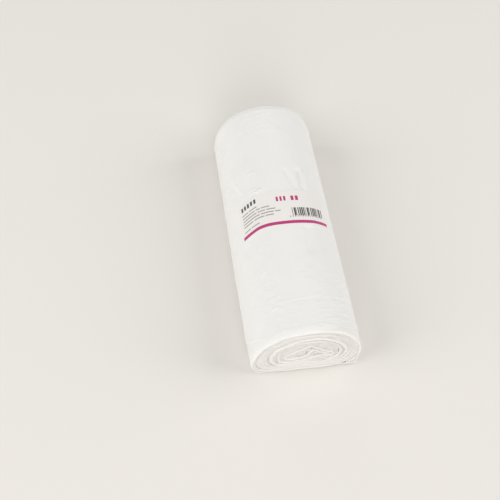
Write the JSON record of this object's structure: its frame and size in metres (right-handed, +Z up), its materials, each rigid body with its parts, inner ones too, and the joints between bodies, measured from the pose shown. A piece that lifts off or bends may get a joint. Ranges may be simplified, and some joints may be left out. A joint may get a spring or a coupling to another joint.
{
  "type": "bin bag roll",
  "caption": "Coreless roll of thin white bin bags lying on its side, slumped flat underneath, with a paper label round the top that holds the free end of the film.",
  "frame": {"origin": "centre of the bounding box's bottom face, on the floor under the middle of the roll", "axes": "+Y along the roll, the near end at -Y; +X to the side on which the loose outer turn hangs; +Z up"},
  "size_m": [0.097, 0.25, 0.0698],
  "materials": {
    "film": "thin white high-density polyethylene film, satin, slightly translucent, finely wrinkled",
    "label_paper": "smooth off-white label paper, faintly coated",
    "magenta_ink": "flat magenta print on paper",
    "dark_ink": "flat near-black print on paper",
    "grey_ink": "flat grey print on paper"
  },
  "bodies": {
    "root": {"film_roll": "film", "label": "label_paper", "label_stripe": "magenta_ink", "label_heading": "dark_ink", "label_marks": "magenta_ink", "label_lines": "grey_ink", "label_bars": "dark_ink"}
  },
  "joints": []
}
